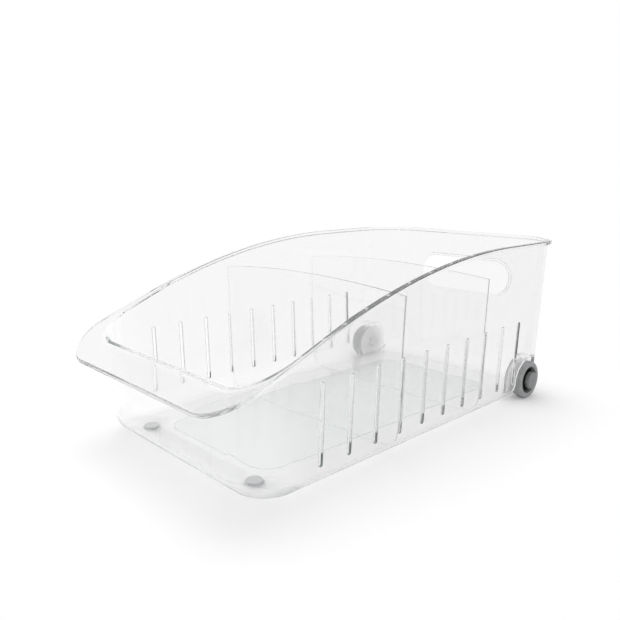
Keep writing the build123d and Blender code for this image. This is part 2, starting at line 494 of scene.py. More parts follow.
def bottom_arc(outline, normals, inset, z, radius):
    """Rounding from the flat floor at height z up to the leaning wall, tangent to both.

    A circle of the radius, from straight down to the direction square to the wall.
    """
    angle = np.linspace(-math.pi / 2, -math.radians(draft_angle), bottom_arc_rows)
    centre_z = z + radius
    reach = radius / math.cos(math.radians(draft_angle))
    rows = []
    for a in angle:
        height = centre_z + radius * math.sin(a)
        back = (overall_height - centre_z) * lean + inset + reach - radius * math.cos(a)
        plan = outline - normals * back
        rows.append(np.column_stack([plan, np.full(len(outline), height)]))
    return np.stack(rows)


def strip(start, end, shares, below):
    """Rows across the rim from start to end in plan, at the rim's height less below."""
    plan = start[None, :, :2] + (end - start)[None, :, :2] * shares[:, :, None]
    z = rim_height(plan[..., 0], plan[..., 1]) - below
    return np.concatenate([plan, z[..., None]], -1)


def ring_shape(cell_columns, cell_rows, upright):
    """Unit stadium, point for point with the border of a block of grid cells.

    Returns, for each border point, the end cap's centre (-1 or 1) or the share along the
    straight side, and the direction out of the outline. Counter-clockwise from the low start.
    """
    if upright:
        low = np.linspace(math.pi, 2 * math.pi, cell_columns + 1)[:-1]
        high = np.linspace(0, math.pi, cell_columns + 1)[:-1]
        along = np.concatenate([
            np.full(cell_columns, -1.0),
            np.linspace(-1, 1, cell_rows + 1)[:-1],
            np.full(cell_columns, 1.0),
            np.linspace(1, -1, cell_rows + 1)[:-1],
        ])
        angle = np.concatenate([low, np.zeros(cell_rows), high, np.full(cell_rows, math.pi)])
        return np.zeros(len(along)), along, np.cos(angle), np.sin(angle)
    right = np.linspace(-math.pi / 2, math.pi / 2, cell_rows + 1)[:-1]
    left = np.linspace(math.pi / 2, 3 * math.pi / 2, cell_rows + 1)[:-1]
    along = np.concatenate([
        np.linspace(-1, 1, cell_columns + 1)[:-1],
        np.full(cell_rows, 1.0),
        np.linspace(1, -1, cell_columns + 1)[:-1],
        np.full(cell_rows, -1.0),
    ])
    angle = np.concatenate([
        np.full(cell_columns, -math.pi / 2),
        right,
        np.full(cell_columns, math.pi / 2),
        left,
    ])
    return along, np.zeros(len(along)), np.cos(angle), np.sin(angle)


def border(ids, first_column, last_column, low_row, high_row):
    """Numbers of the grid points round a block of cells, in the order of ring_shape."""
    step = 1 if high_row > low_row else -1
    columns = np.arange(first_column, last_column)
    rows = np.arange(low_row, high_row, step)
    wrap = ids.shape[1]
    return np.concatenate([
        ids[low_row, columns % wrap],
        ids[rows, last_column % wrap],
        ids[high_row, (columns + 1)[::-1] % wrap],
        ids[rows + step, first_column % wrap][::-1],
    ])


def band(first, second):
    """Four-sided faces between two rings of point numbers."""
    return np.stack([first, np.roll(first, -1), np.roll(second, -1), second], -1)


def share_at_front(points):
    """Share of a point in the front wall and lip: 1 there, 0 at the sides and behind. It places
    the clearer tint of the front's painted light.

    The product of an S curve across and an S curve along.
    """
    within = 1 - smooth_step(np.abs(points[..., 0]), front_full_x, front_end_x)
    return within * (1 - smooth_step(points[..., 1], front_full_y, front_end_y))


def up_the_wall(normals):
    """Unit directions up the leaning wall: along the normal by the lean for each step up."""
    up = np.column_stack([normals * lean, np.ones(len(normals))])
    return up / np.linalg.norm(up, axis=1)[:, None]


def wall_levels(inner_top_z):
    """Heights of the walls' rows, column by column.

    Even steps go up the slots' cells, then up the hand hole's cells. Where the wall ends low,
    as under the lip, each height comes down to its share of what the wall has.
    """
    low = ground_clearance + bottom_radius - cells_start_drop
    full = slot_cells_share * (inner_top_z - low) / (cells_top - low)
    middle = low + (cells_top - low) * np.minimum(1, full)
    high = middle + hole_cells_share * (inner_top_z - middle)
    low_levels = low + (middle - low) * np.linspace(0, 1, slot_rows + 1)[:, None]
    high_levels = middle + (high - middle) * np.linspace(0, 1, hole_rows + 1)[1:, None]
    return np.concatenate([low_levels, high_levels])


def tub_profile():
    """Parts of the tub's closed profile, each as rows of points round the outline.

    They go up the inside from the floor, over the rim or lip, and down the outside to the
    underside. Each rounding is a tangent arc, and the parts between are straight in plan.
    """
    (tub, tub_normals), (lip, lip_normals) = tub_outlines()
    up = up_the_wall(tub_normals)
    lip_up = up_the_wall(lip_normals)
    inner_corner = on_rim(tub, tub_normals, wall, 0)
    outer_corner = on_rim(lip, lip_normals, 0, 0)
    under_corner = on_rim(lip, lip_normals, 0, rim_thickness)
    root_corner = on_rim(tub, tub_normals, 0, rim_thickness)

    on_lip = 1 - smooth_step(inner_corner[:, 1], tub_front_y, tub_front_y + lip_rounding_fade)
    inside_rounding = rim_inside_rounding + on_lip * (lip_inside_rounding - rim_inside_rounding)
    width = np.linalg.norm((outer_corner - inner_corner)[:, :2], axis=1)
    under_width = np.linalg.norm((root_corner - under_corner)[:, :2], axis=1)
    across = np.linspace(0, 1, across_rim_rows)[:, None]
    top_from = inside_rounding / width
    top_to = 1 - rim_top_rounding / width
    top = strip(inner_corner, outer_corner, top_from + (top_to - top_from) * across, 0)
    under_from = rim_under_rounding / under_width
    under_to = 1 - rim_root_rounding / under_width
    under = strip(
        under_corner, root_corner, under_from + (under_to - under_from) * across, rim_thickness
    )
    inner_top = inner_corner - up * inside_rounding[:, None]
    outer_top = root_corner - up * rim_root_rounding
    outer_edge_end = outer_corner - lip_up * rim_top_rounding
    under_edge_start = under_corner + lip_up * rim_under_rounding
    levels = wall_levels(inner_top[:, 2])
    return [
        bottom_arc(tub, tub_normals, wall, floor_top, inner_bottom_radius),
        np.stack([on_wall(tub, tub_normals, wall, z) for z in levels]),
        rounded(inner_top, inner_corner, top[0], top_rounding_rows),
        top[1:-1],
        rounded(top[-1], outer_corner, outer_edge_end, top_rounding_rows),
        rounded(under_edge_start, under_corner, under[0], under_rounding_rows),
        under[1:-1],
        rounded(under[-1], root_corner, outer_top, under_rounding_rows),
        np.stack([on_wall(tub, tub_normals, 0, z) for z in levels[::-1]]),
        bottom_arc(tub, tub_normals, 0, ground_clearance, bottom_radius)[::-1],
    ]


def tub_openings(column_count):
    """First and last column, first and last wall level, and tunnel rings of each opening."""
    half = column_count // 2
    cells_from = front_steps + front_corner_steps + before_cells_steps
    openings = []
    for number in range(1, slot_count + 1):
        first = cells_from + (number - 1) * cell_steps
        if number == slot_count:
            first += before_last_steps
        last = first + cell_steps
        right = (first, last, 0, slot_rows, slot_rings(number, 1))
        left = (2 * half - last, 2 * half - first, 0, slot_rows, slot_rings(number, -1))
        openings += [right, left]
    hole_columns = (half - half_hole_steps, half + half_hole_steps)
    openings.append((*hole_columns, slot_rows, slot_rows + hole_rows, hand_hole_rings()))
    return openings


def tub_surface():
    """Points and faces of the clear tub without its wheel pockets, and shares of its finishes and
    of the front's painted light.

    The profile is carried round the outline. Blocks of cells in the flat walls are left out,
    and a tunnel with rounded edges goes through each. The panel closes the floor on both sides.
    """
    profile = tub_profile()
    grid = np.concatenate(profile)
    ends = np.cumsum([len(part) for part in profile])
    inner_start = ends[0]
    lip_start = ends[2]
    lip_end = ends[6]
    outer_end = ends[8] - 1
    # The front share places the painted light: a clearer tint on the front wall and lip
    front = share_at_front(grid)
    soft = np.zeros(grid.shape[:2])
    down_bend = smooth_step(np.linspace(0, 1, bottom_arc_rows), 0, satin_fade_share)[:, None]
    soft[outer_end + 1:] = front[outer_end + 1:] * down_bend
    front[lip_start:lip_end] = 0

    row_count, column_count = grid.shape[:2]
    ids = np.arange(row_count * column_count).reshape(row_count, column_count)
    kept = np.ones((row_count - 1, column_count), bool)
    points = [grid.reshape(-1, 3)]
    total = row_count * column_count
    tunnels = []
    for first, last, low_level, high_level, rings in tub_openings(column_count):
        inner_low = inner_start + low_level
        inner_high = inner_start + high_level
        outer_low = outer_end - low_level
        outer_high = outer_end - high_level
        kept[inner_low:inner_high, first:last] = False
        kept[outer_high:outer_low, first:last] = False
        chain = [border(ids, first, last, outer_low, outer_high)]
        for ring in rings:
            chain.append(total + np.arange(len(ring)))
            points.append(ring)
            total += len(ring)
        chain.append(border(ids, first, last, inner_low, inner_high))
        tunnels += [band(a, b) for a, b in zip(chain[:-1], chain[1:])]

    right = np.roll(ids, -1, axis=1)
    quads = np.stack([ids[:-1], ids[1:], right[1:], right[:-1]], -1)[kept]
    faces = np.concatenate([quads] + tunnels).tolist()
    marked = []
    for edge, level, height, upwards in (
        (ids[0], floor_top, panel_rise, True),
        (ids[-1], ground_clearance, panel_depth, False),
    ):
        for ring in panel_rings(level, height):
            following = total + np.arange(len(ring))
            total += len(ring)
            points.append(ring)
            pair = (edge, following) if upwards else (following, edge)
            faces += band(*pair).tolist()
            edge = following
        faces.append(edge.tolist() if upwards else edge[::-1].tolist())
        marked.append(edge)
    points = np.concatenate(points)
    past_grid = np.zeros(len(points) - front.size)
    shares = {
        "front": np.concatenate([front.ravel(), past_grid]),
        "soft": np.concatenate([soft.ravel(), past_grid]),
        "panel": np.zeros(len(points)),
        "housing": np.zeros(len(points)),
    }
    shares["panel"][np.concatenate(marked)] = 1
    return points, faces, shares


def panel_rings(level, height):
    """Rings of the floor's panel: a rounded rectangle that steps up by a cosine slope.

    Each has one point for each column of the tub's outline, in the same order.
    """
    rings = []
    straight = before_cells_steps + cell_steps * slot_count + before_last_steps
    straight += behind_cells_steps
    side_y = steps(
        panel_front_y + panel_corner_radius, panel_rear_y - panel_corner_radius, straight
    )
    for share in np.linspace(0, 1, panel_slope_rings):
        inset = panel_slope * share
        half = half_outline(
            panel_half_width - inset,
            panel_front_y + inset,
            panel_rear_y - inset,
            panel_corner_radius - inset,
            panel_corner_radius - inset,
            side_y,
            panel_rear_cell_x,
        )
        outline, _ = whole_outline(*half)
        z = level + height * (1 - math.cos(math.pi * share)) / 2
        rings.append(np.column_stack([outline, np.full(len(outline), z)]))
    return rings


def slot_rings(number, side):
    """Rings of one slot's tunnel, from the outer wall to the inner one.

    Each edge is a quarter circle: as it goes in by r(1 - cos a), the stadium shrinks to
    r(1 - sin a) more than the slot.
    """
    _, along, out_y, out_z = ring_shape(cell_steps, slot_rows, True)
    radius = slot_width / 2
    middle = (slot_bottom + slot_top) / 2
    reach = (slot_top - slot_bottom) / 2 - radius
    angle = np.linspace(0, math.pi / 2, slot_edge_steps)
    grow = slot_edge_rounding * (1 - np.sin(angle))
    depth = slot_edge_rounding * (1 - np.cos(angle))
    grows = np.concatenate([grow, grow[::-1]])
    insets = np.concatenate([depth, wall - depth[::-1]])
    rings = []
    for grown, inset in zip(grows, insets):
        y = slot_y(number) + side * (radius + grown) * out_y
        z = middle + along * reach + (radius + grown) * out_z
        x = side * (tub_half_width - (overall_height - z) * lean - inset)
        rings.append(np.column_stack([x, y, z]))
    return rings


def hand_hole_rings():
    """Rings of the hand hole's tunnel, from its bead on the outside to the inner wall.

    The bead rises as half a cosine wave and falls into the hole as a quarter ellipse.
    """
    along, _, out_x, out_z = ring_shape(2 * half_hole_steps, hole_rows, False)
    radius = hand_hole_height / 2
    reach = hand_hole_length / 2 - radius
    crest = bead_width * bead_crest_share
    foot = bead_width + bead_foot_run
    u = np.linspace(0, 1, bead_steps)
    climb_grow = foot - (foot - crest) * u
    climb = bead_height * (1 - np.cos(math.pi * u)) / 2
    fall = np.linspace(0, math.pi / 2, bead_steps)[1:]
    fall_grow = crest * (1 - np.sin(fall))
    fall_out = bead_height - (bead_height + bead_sink) * (1 - np.cos(fall))
    angle = np.linspace(0, math.pi / 2, hole_edge_steps)
    end_grow = hand_hole_rounding * (1 - np.cos(angle))
    end_out = -wall + hand_hole_rounding * (1 - np.sin(angle))
    grows = np.concatenate([climb_grow, fall_grow, end_grow])
    outs = np.concatenate([climb, fall_out, end_out])
    rings = []
    for grown, out in zip(grows, outs):
        x = -(along * reach + (radius + grown) * out_x)
        z = hand_hole_centre_height + (radius + grown) * out_z
        y = tub_rear_y - (overall_height - z) * lean + out
        rings.append(np.column_stack([x, y, z]))
    return rings


def side_surface_x(y, z, inset):
    """X of the tub's right side at a point of its side view, inset from the outer surface.

    The straight wall leans, the rear corner is a circle in plan, and the bottom is an arc. The
    circle is followed to within corner_margin of its end, where its slope has no limit.
    """
    arc_centre_z = ground_clearance + bottom_radius
    arc_radius = bottom_radius - inset
    drop = np.clip(arc_centre_z - z, 0, arc_radius)
    bottom_back = arc_radius - np.sqrt(arc_radius**2 - drop**2)
    height = np.maximum(z, arc_centre_z)
    back = (overall_height - height) * lean + inset + bottom_back
    corner_y = tub_rear_y - rear_corner_radius
    corner = rear_corner_radius - back
    along = np.clip(y - corner_y, 0, corner - corner_margin)
    return tub_half_width - rear_corner_radius + np.sqrt(corner**2 - along**2)


def arch(radius, foot_z):
    """Side view of an arch over the wheel's axle: a half circle on two straight legs.

    Returns the closed outline's Y and Z, from the front leg's foot over the top.
    """
    angle = np.linspace(math.pi, 0, arch_steps)
    leg = steps(foot_z, wheel_radius, leg_steps)
    beside = np.full(leg_steps, radius)
    y = np.concatenate([-beside, radius * np.cos(angle), beside])
    z = np.concatenate([leg, wheel_radius + radius * np.sin(angle), leg[::-1]])
    return wheel_y + y, z


def arch_block(radius, foot_z, start_x, inset, rounding, flare=0):
    """Arch-shaped block from start_x out to the side's surface, for one side.

    A quarter circle rounds its inner end. With a flare it goes on past the surface, growing as
    a circle does through pocket_flare_turn, so that what it cuts has a rounded edge.
    """
    rings = []
    for a in np.linspace(0, math.pi / 2, end_rounding_rings):
        y, z = arch(radius - rounding * (1 - math.sin(a)), foot_z)
        x = np.full(len(y), start_x + rounding * (1 - math.cos(a)))
        rings.append(np.column_stack([x, y, z]))
    y, z = arch(radius, foot_z)
    least_x = start_x + 2 * rounding + flare
    edge_x = np.maximum(side_surface_x(y, np.maximum(z, ground_clearance), inset), least_x)
    if flare:
        for a in np.linspace(0, math.radians(pocket_flare_turn), flare_rings):
            y, z = arch(radius + flare * (1 - math.cos(a)), foot_z)
            rings.append(np.column_stack([edge_x - flare * (1 - math.sin(a)), y, z]))
        y, z = arch(radius + pocket_cut_growth, foot_z)
        rings.append(np.column_stack([edge_x + flare, y, z]))
        rings.append(np.column_stack([np.full(len(y), overall_width), y, z]))
    else:
        rings.append(np.column_stack([edge_x, y, z]))
        middle_z = (foot_z + wheel_radius) / 2
        for share in wall_fill_shares:
            y_in = wheel_y + (y - wheel_y) * share
            z_in = middle_z + (z - middle_z) * share
            x_in = np.maximum(side_surface_x(y_in, z_in, inset), least_x)
            rings.append(np.column_stack([x_in, y_in, z_in]))
    points = np.stack(rings)
    count = points.shape[1]
    ids = np.arange(len(rings) * count).reshape(-1, count)
    faces = np.concatenate([band(a, b) for a, b in zip(ids[:-1], ids[1:])]).tolist()
    faces.append(ids[0, ::-1].tolist())
    faces.append(ids[-1].tolist())
    return points.reshape(-1, 3), faces


def turned(profile, count=turned_steps):
    """Surface of revolution about X from points given as (along, radius).

    Each point goes round as the cosine and sine of the angle times its radius.
    """
    profile = np.asarray(profile, float)
    angle = np.arange(count) * 2 * math.pi / count
    along = np.repeat(profile[:, 0], count)
    around = np.outer(profile[:, 1], np.cos(angle)).ravel()
    up = np.outer(profile[:, 1], np.sin(angle)).ravel()
    points = np.column_stack([along, around, up])
    ids = np.arange(len(points)).reshape(-1, count)
    faces = np.concatenate([band(a, b) for a, b in zip(ids[:-1], ids[1:])]).tolist()
    return points, faces, ids


def capped(profile, count=turned_steps):
    """Turned solid whose first and last profile points are flat caps."""
    points, faces, ids = turned(profile, count)
    faces.append(ids[0, ::-1].tolist())
    faces.append(ids[-1].tolist())
    return points, faces


def looped(profile):
    """Turned ring whose profile closes on itself."""
    points, faces, ids = turned(profile)
    faces += band(ids[-1], ids[0]).tolist()
    return points, faces


def softened(corners, radii, closed, count=rounding_steps):
    """Polyline with each corner turned into a circular arc, for profiles in two dimensions.

    The arc begins and ends at the radius over the tangent of half the corner's angle from it.
    """
    corners = np.asarray(corners, float)
    result = []
    last = len(corners) - 1
    for i, (corner, radius) in enumerate(zip(corners, radii)):
        if radius == 0 or (not closed and i in (0, last)):
            result.append(corner[None])
            continue
        before = corners[i - 1] - corner
        after = corners[(i + 1) % len(corners)] - corner
        before /= np.linalg.norm(before)
        after /= np.linalg.norm(after)
        half_angle = math.acos(float(np.clip(before @ after, -1, 1))) / 2
        reach = radius / math.tan(half_angle)
        arc = rounded(
            (corner + before * reach)[None], corner[None], (corner + after * reach)[None], count
        )
        result.append(arc[:, 0])
    return np.concatenate(result)


def on_axle(points, side):
    """Carry a piece turned about X to one wheel's axle; side is 1 on the right."""
    placed = points + np.array([0.0, *wheel_axis])
    placed[:, 0] *= side
    return placed


def facing(faces, side):
    """Faces turned over on the left, where the points are mirrored."""
    return faces if side > 0 else [face[::-1] for face in faces]


def both_sides(points, faces):
    """A solid on the right together with its mirror image on the left."""
    count = len(points)
    mirrored = points * np.array([-1.0, 1.0, 1.0])
    more = [[p + count for p in face[::-1]] for face in faces]
    return np.concatenate([points, mirrored]), list(faces) + more


def combine(piece, operation, points, faces):
    """Add a closed solid to a piece's mesh, or cut it away, by an exact boolean."""
    mesh = bpy.data.meshes.new("tool")
    mesh.from_pydata((points * metre).tolist(), [], faces)
    build = bmesh.new()
    build.from_mesh(mesh)
    bmesh.ops.recalc_face_normals(build, faces=build.faces)
    build.to_mesh(mesh)
    build.free()
    tool = bpy.data.objects.new("tool", mesh)
    bpy.context.scene.collection.objects.link(tool)
    modifier = piece.modifiers.new("combine", "BOOLEAN")
    modifier.operation = operation
    modifier.solver = "EXACT"
    modifier.object = tool
    bpy.context.view_layer.update()
    evaluated = piece.evaluated_get(bpy.context.evaluated_depsgraph_get())
    result = bpy.data.meshes.new_from_object(evaluated)
    piece.modifiers.clear()
    old = piece.data
    piece.data = result
    result.name = piece.name
    bpy.data.meshes.remove(old)
    bpy.data.objects.remove(tool)
    bpy.data.meshes.remove(mesh)


def finish_housings(piece):
    """Mark the backs of the wheel housings, and the bosses on them, for their milky finish.

    A back is what lies within the pocket wall's thickness behind a pocket. A boss is what lies
    within its own radius of the axle.
    """
    mesh = piece.data
    places = np.empty(len(mesh.vertices) * 3)
    mesh.vertices.foreach_get("co", places)
    x, y, z = (places.reshape(-1, 3) / metre).T
    from_axle = np.hypot(y - wheel_y, z - wheel_radius)
    near_axle = from_axle < 2 * pocket_radius
    beside = np.abs(np.abs(x) - pocket_back_x + pocket_wall / 2) < pocket_wall / 2 + milky_margin
    on_boss = (from_axle < boss_radius + milky_margin) & (np.abs(x) < pocket_back_x)
    on_back = near_axle & beside & (y > wheel_y - pocket_radius - 2 * pocket_wall)
    mesh.attributes["housing"].data.foreach_set("value", (on_back | on_boss).astype(float))


def weigh_normals(piece):
    """Let the larger faces decide the shading, so that flat walls stay flat to their edges."""
    modifier = piece.modifiers.new("weigh_normals", "WEIGHTED_NORMAL")
    modifier.mode = "FACE_AREA"
    modifier.weight = 100
    modifier.keep_sharp = True


def divider_outline():
    """Closed outline of a divider in X and Z: floor corners, walls, ears and a crowned top.

    The floor corners are arcs. The crown is an arc whose radius is the half width squared plus
    the rise squared, over twice the rise.
    """
    def half_width(z):
        return tub_half_width - (overall_height - z) * lean

    bottom = floor_top + divider_floor_gap
    edge_gap = wall + divider_side_gap
    corner_x = half_width(divider_corner_height) - edge_gap
    ear_bottom = slot_bottom + ear_end_gap
    ear_top = slot_top - ear_end_gap - divider_play
    floor_corner = inner_bottom_radius + divider_side_gap
    side = softened(
        [
            (0, bottom),
            (half_width(bottom) - edge_gap, bottom),
            (half_width(ear_bottom) - edge_gap, ear_bottom),
        ],
        [0, floor_corner, 0],
        closed=False,
        count=divider_corner_steps,
    )
    ear = np.array([
        (half_width(ear_bottom), ear_bottom),
        (half_width(ear_top), ear_top),
        (half_width(ear_top) - edge_gap, ear_top),
    ])
    rise_to_crown = divider_crown_height - divider_corner_height
    crown_radius = (corner_x**2 + rise_to_crown**2) / (2 * rise_to_crown)
    x = np.linspace(corner_x, 0, crown_steps)
    z = divider_crown_height - crown_radius + np.sqrt(crown_radius**2 - x**2)
    right = np.concatenate([side, ear, np.column_stack([x, z])])
    left = right[-2:0:-1] * np.array([-1, 1])
    return np.concatenate([right, left])


def divider_sheet(number):
    """A divider as a flat sheet between two copies of its outline."""
    outline = divider_outline()
    count = len(outline)
    half = divider_thickness / 2
    front = np.column_stack([outline[:, 0], np.full(count, slot_y(number) - half), outline[:, 1]])
    back = front + np.array([0, divider_thickness, 0])
    ids = np.arange(2 * count).reshape(2, count)
    faces = band(ids[0], ids[1])[:, ::-1].tolist()
    faces.append(ids[0].tolist())
    faces.append(ids[1, ::-1].tolist())
    return np.concatenate([front, back]), faces


def round_edges(piece, width):
    """Small rounding on every sharp edge, shaded so that the flat faces stay flat."""
    modifier = piece.modifiers.new("round_edges", "BEVEL")
    modifier.width = width * metre
    modifier.segments = edge_segments
    modifier.limit_method = "ANGLE"
    modifier.angle_limit = math.radians(rounded_edge_angle)
    modifier.harden_normals = True


def new_material(name):
    """A material with an empty node tree and its output node."""
    material = bpy.data.materials.new(name)
    material.use_nodes = True
    tree = material.node_tree
    tree.nodes.clear()
    return material, tree, tree.nodes.new("ShaderNodeOutputMaterial")


def add_node(tree, kind, inputs, **settings):
    """Add a shader node; inputs maps its sockets to numbers or to other nodes' outputs."""
    node = tree.nodes.new(kind)
    for name, value in settings.items():
        setattr(node, name, value)
    for name, value in inputs.items():
        if isinstance(value, bpy.types.NodeSocket):
            tree.links.new(value, node.inputs[name])
        else:
            node.inputs[name].default_value = value
    return node


def own_place(tree):
    """Place on the piece, in its object coordinates."""
    return tree.nodes.new("ShaderNodeTexCoord").outputs["Object"]


def cloudy(tree, place, size, detail):
    """Noise whose patches are about size millimetres wide."""
    values = {
        "Vector": place,
        "Scale": 1 / (size * metre),
        "Detail": detail,
        "Roughness": noise_roughness,
    }
    return add_node(tree, "ShaderNodeTexNoise", values).outputs["Fac"]


def between(tree, value, low, high, from_low=noise_low, from_high=noise_high):
    """A value carried from one range to another."""
    values = {
        "Value": value,
        "From Min": from_low,
        "From Max": from_high,
        "To Min": low,
        "To Max": high,
    }
    return add_node(tree, "ShaderNodeMapRange", values).outputs["Result"]


def sum_of(tree, first, second):
    """The sum of two values, from 0 to 1."""
    values = {0: first, 1: second}
    total = add_node(tree, "ShaderNodeMath", values, operation="ADD", use_clamp=True)
    return total.outputs[0]


def product_of(tree, first, second):
    """The product of two values."""
    values = {0: first, 1: second}
    return add_node(tree, "ShaderNodeMath", values, operation="MULTIPLY").outputs[0]


def raised(tree, height, depth, normal=None):
    """Relief of the given depth in millimetres, over an earlier relief where there is one."""
    values = {"Height": height, "Distance": depth * metre, "Strength": 1.0}
    if normal:
        values["Normal"] = normal
    return add_node(tree, "ShaderNodeBump", values).outputs["Normal"]


def mixed(tree, value, first, second):
    """The first colour, or colour socket, where the value is 0, and the second where it is 1."""
    mix = tree.nodes.new("ShaderNodeMix")
    mix.data_type = "RGBA"
    # Blender's Mix node has its colour sockets at 6 and 7, and its mixed colour at 2
    share, first_colour, second_colour = (mix.inputs[i] for i in (0, 6, 7))
    tree.links.new(value, share)
    if isinstance(first, bpy.types.NodeSocket):
        tree.links.new(first, first_colour)
    else:
        first_colour.default_value = (*first, 1.0)
    second_colour.default_value = (*second, 1.0)
    return mix.outputs[2]


def greys(tree, value, dark, light):
    """A grey between two levels, very slightly blue as the real plastic is."""
    return mixed(tree, value, [dark * c for c in cool_grey], [light * c for c in cool_grey])


def share_of(tree, name):
    """A share that is kept on the piece's points."""
    return add_node(tree, "ShaderNodeAttribute", {}, attribute_name=name).outputs["Fac"]


def milky_disc(tree, place):
    """1 on the backs of the wheel housings, in a disc round the axle, and 0 elsewhere."""
    side_view = add_node(
        tree, "ShaderNodeVectorMath", {0: place, 1: (0.0, 1.0, 1.0)}, operation="MULTIPLY"
    ).outputs[0]
    axle = (0.0, wheel_y * metre, wheel_radius * metre)
    from_axle = add_node(
        tree, "ShaderNodeVectorMath", {0: side_view, 1: axle}, operation="DISTANCE"
    ).outputs["Value"]
    disc = between(tree, from_axle, 1.0, 0.0, milky_disc_full * metre, milky_disc_end * metre)
    return product_of(tree, disc, share_of(tree, "housing"))


def clear_plastic(name, tint, is_bin):
    """Clear moulded plastic: slow waves from the mould, a faint haze and fine rubbed patches.

    On the bin the floor's panel is finely textured, the front's lower edge is satin and the wheel
    housings' backs are milky. The front wall and lip are left clearer than the rest, a painted
    light that makes them and their edges lighter than the sides.
    """
    material, tree, output = new_material(name)
    place = own_place(tree)
    waves = cloudy(tree, place, mould_wave_size, detail=1.0)
    patches = cloudy(tree, place, rubbed_patch_size, detail=5.0)
    rubbed = between(tree, patches, 0.0, rubbed_roughness, rubbed_from, rubbed_to)
    roughness = sum_of(tree, rubbed, polish)
    normal = raised(tree, waves, mould_wave_depth)
    colour = (tint, tint, tint, 1.0)
    if is_bin:
        milky = milky_disc(tree, place)
        for share, finish in (
            (share_of(tree, "panel"), panel_roughness),
            (share_of(tree, "soft"), satin_roughness),
            (milky, milky_roughness),
        ):
            extra = between(tree, share, 0.0, finish, 0.0, 1.0)
            roughness = sum_of(tree, roughness, extra)
        # Painted light: the front wall and lip take a clearer tint than the rest, so they look
        # lighter
        colour = mixed(tree, share_of(tree, "front"), [tint] * 3, [front_painted_light_tint] * 3)
        colour = mixed(tree, share_of(tree, "panel"), colour, panel_tint)
    surface = add_node(tree, "ShaderNodeBsdfGlass", {
        "Color": colour,
        "IOR": plastic_index,
        "Roughness": roughness,
        "Normal": normal,
    }).outputs[0]
    if is_bin:
        white = (milky_white, milky_white, milky_white, 1.0)
        milk = add_node(tree, "ShaderNodeBsdfDiffuse", {"Color": white, "Normal": normal})
        milkiness = between(tree, milky, 0.0, milky_share, 0.0, 1.0)
        surface = add_node(
            tree, "ShaderNodeMixShader", {0: milkiness, 1: surface, 2: milk.outputs[0]}
        ).outputs[0]
    tree.links.new(surface, output.inputs["Surface"])
    return material


def turning_marks(tree, place, ring_width):
    """Fine rings round the axle, as a turned mould leaves them: a sine of the distance from it.

    Blender's ring texture is the sine of 20 times its scale times the distance, and half a wave
    of it is one ring.
    """
    axle = (0.0, -wheel_y * metre, -wheel_radius * metre)
    centred = add_node(tree, "ShaderNodeMapping", {"Vector": place, "Location": axle}).outputs[0]
    return add_node(
        tree,
        "ShaderNodeTexWave",
        {"Vector": centred, "Scale": math.pi / (20 * ring_width * metre), "Detail": 0.0},
        wave_type="RINGS",
        rings_direction="X",
    ).outputs["Fac"]


def moulded(name, shades, grain_size, grain_depth, roughness, ring_width=0.0):
    """Opaque rubber or plastic: cloudy colour, moulded grain and, on turned faces, fine rings.

    shades and roughness are each the least and the most, and lengths are in millimetres.
    """
    material, tree, output = new_material(name)
    place = own_place(tree)
    grain = cloudy(tree, place, grain_size, detail=3.0)
    patches = cloudy(tree, place, colour_patch_size, detail=4.0)
    normal = raised(tree, grain, grain_depth)
    if ring_width:
        marks = turning_marks(tree, place, ring_width)
        normal = raised(tree, marks, turning_mark_depth, normal)
    shader = add_node(tree, "ShaderNodeBsdfPrincipled", {
        "Base Color": greys(tree, between(tree, patches, 0.0, 1.0), *shades),
        "Roughness": between(tree, grain, *roughness),
        "Normal": normal,
    })
    tree.links.new(shader.outputs[0], output.inputs["Surface"])
    return material


def boss_profile():
    """Half section of the boss on a housing's back, which holds the axle pin."""
    return softened(
        [
            (boss_end_x, cap_radius),
            (boss_end_x, boss_radius),
            (boss_root_x, boss_radius),
            (boss_root_x, cap_radius),
        ],
        [0, boss_end_rounding, boss_root_rounding, 0],
        closed=False,
    )


def tyre_profile():
    """Half section of a tyre, a ring round the hub, most rounded at its inner edge."""
    return softened(
        [
            (wheel_back_x, hub_radius),
            (wheel_back_x, wheel_radius),
            (wheel_face_x, wheel_radius),
            (wheel_face_x, hub_radius),
        ],
        [
            tyre_inner_bore_rounding,
            tyre_inner_edge_rounding,
            tyre_outer_edge_rounding,
            tyre_outer_bore_rounding,
        ],
        closed=True,
        count=tyre_rounding_steps,
    )


def hub_profile():
    """Half section of a hub: an outer rim, a web at the back and a tube that runs on the pin."""
    bore = pin_radius + hub_bore_gap
    rim_inside = hub_radius - hub_rim
    edge = hub_edge_rounding
    return softened(
        [
            (wheel_back_x, bore),
            (wheel_back_x, hub_radius),
            (wheel_face_x - hub_recess, hub_radius),
            (wheel_face_x - hub_recess, rim_inside),
            (wheel_back_x + hub_web, rim_inside),
            (wheel_back_x + hub_web, hub_tube_radius),
            (hub_tube_end_x, hub_tube_radius),
            (hub_tube_end_x, bore),
        ],
        [0, 0, 0, edge, edge, edge, hub_tube_rounding, 0],
        closed=True,
    )


def pin_profile():
    """Half section of an axle pin: a plain stem and a round head that stands proud."""
    stem_end_x = boss_end_x + boss_end_wall
    return softened(
        [
            (stem_end_x, cap_radius),
            (stem_end_x, pin_radius),
            (pin_head_back_x, pin_radius),
            (pin_head_back_x, pin_head_radius),
            (pin_head_face_x, pin_head_radius),
            (pin_head_face_x, cap_radius),
        ],
        [0, pin_end_rounding, 0, pin_head_back_rounding, pin_head_rounding, 0],
        closed=False,
    )


